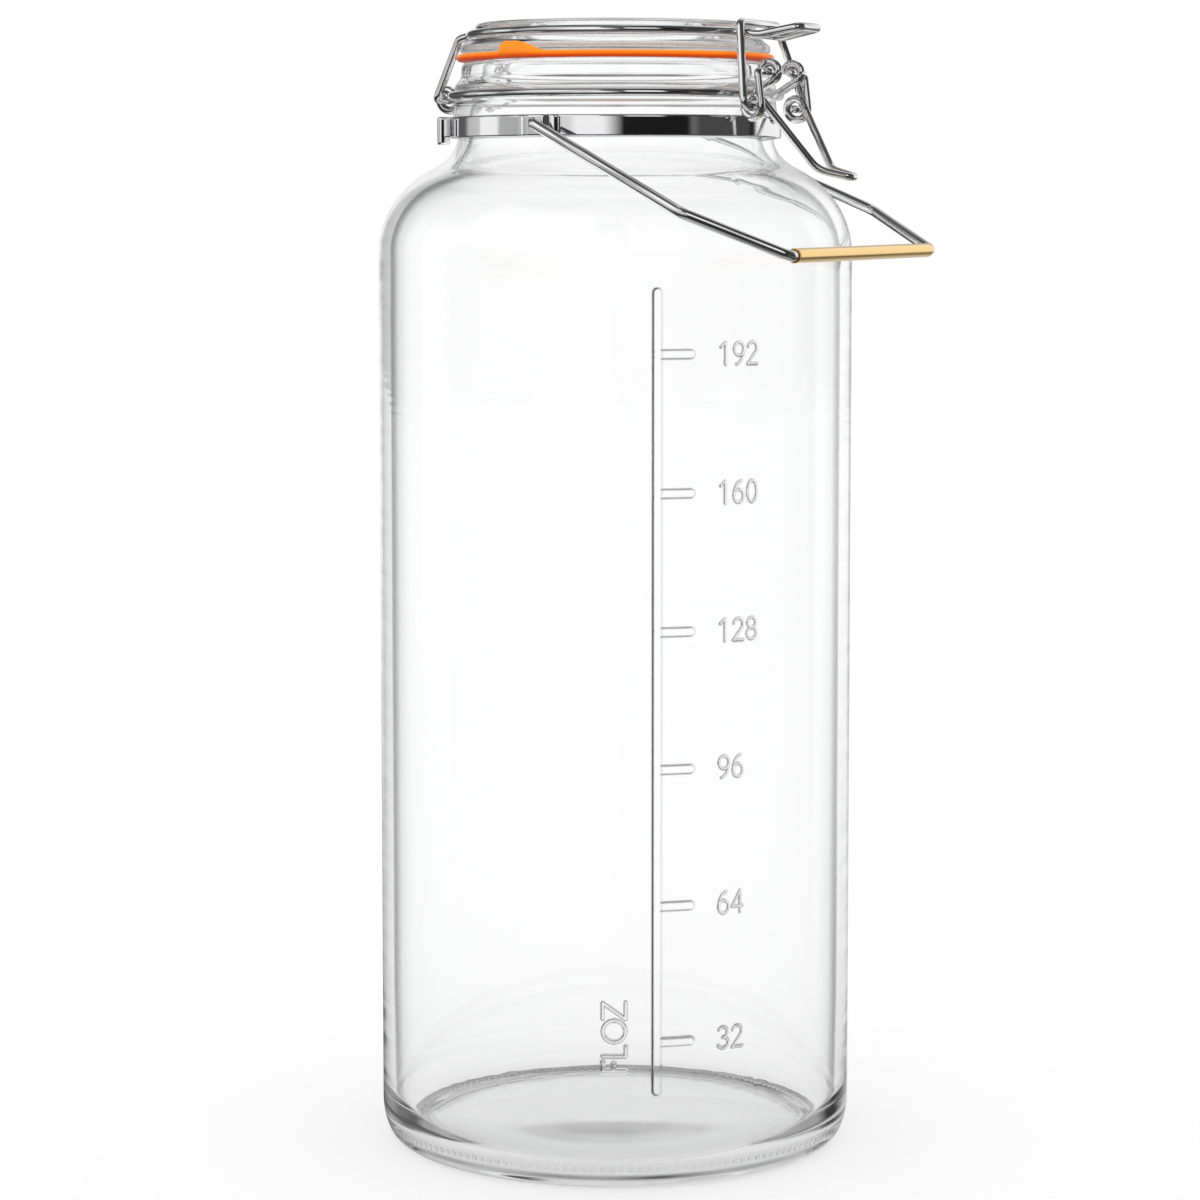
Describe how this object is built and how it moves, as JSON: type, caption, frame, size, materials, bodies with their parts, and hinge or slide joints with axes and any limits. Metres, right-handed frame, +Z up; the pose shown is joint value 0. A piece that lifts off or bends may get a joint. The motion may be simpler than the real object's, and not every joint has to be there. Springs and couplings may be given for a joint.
{
  "type": "glass storage jar",
  "caption": "Tall round clear glass storage jar with a hinged glass lid, rubber seal ring, wire clamp lever and a swinging wire carry handle with a metal grip.",
  "frame": {"origin": "centre of the base, on the surface that the jar stands on", "axes": "+Z up along the jar's axis, +X towards the wire clamp, -X towards the lid's hinge, and the handle turns on a line along Y"},
  "size_m": [0.1819, 0.1708, 0.3992],
  "materials": {
    "clear_glass": "clear, smooth, pressed, with soft ripples",
    "orange_rubber": "smooth moulded, satin",
    "bright_steel": "bright drawn wire with fine draw lines",
    "band_steel": "polished strip",
    "polished_brass": "polished, lacquered tube"
  },
  "bodies": {
    "jar": {"jar_body": "clear_glass", "neck_wire": "bright_steel", "handle_band": "band_steel", "band_clasp": "band_steel", "handle_bracket_front": "band_steel", "handle_bracket_rear": "band_steel"},
    "lid": {"jar_lid": "clear_glass", "lid_gasket": "orange_rubber", "lid_wire": "bright_steel"},
    "lever": {"latch_lever": "bright_steel"},
    "bail": {"latch_bail": "bright_steel"},
    "handle": {"handle_wire": "bright_steel"},
    "grip": {"handle_grip": "polished_brass"}
  },
  "joints": [
    {"name": "lid_hinge", "type": "hinge", "parent": "jar", "child": "lid", "pos_m": [-0.0624, 0, 0.3726], "axis": [0, -1, 0], "range_deg": [0, 180]},
    {"name": "lever_pivot", "type": "hinge", "parent": "jar", "child": "lever", "pos_m": [0.064, 0, 0.381], "axis": [0, -1, 0], "range_deg": [0, 128]},
    {"name": "bail_pivot", "type": "hinge", "parent": "lever", "child": "bail", "pos_m": [0.0619, 0, 0.3687], "axis": [0, -1, 0], "range_deg": [-141, 0]},
    {"name": "handle_swing", "type": "hinge", "parent": "jar", "child": "handle", "pos_m": [0, 0, 0.3632], "axis": [0, -1, 0], "range_deg": [0, 230]},
    {"name": "grip_spin", "type": "hinge", "parent": "handle", "child": "grip", "pos_m": [0.09516, 0, 0.31883], "axis": [0, 1, 0], "continuous": true}
  ],
  "couplings": [
    {"joint": "bail_pivot", "follows": "lever_pivot", "ratio": -1.1}
  ]
}
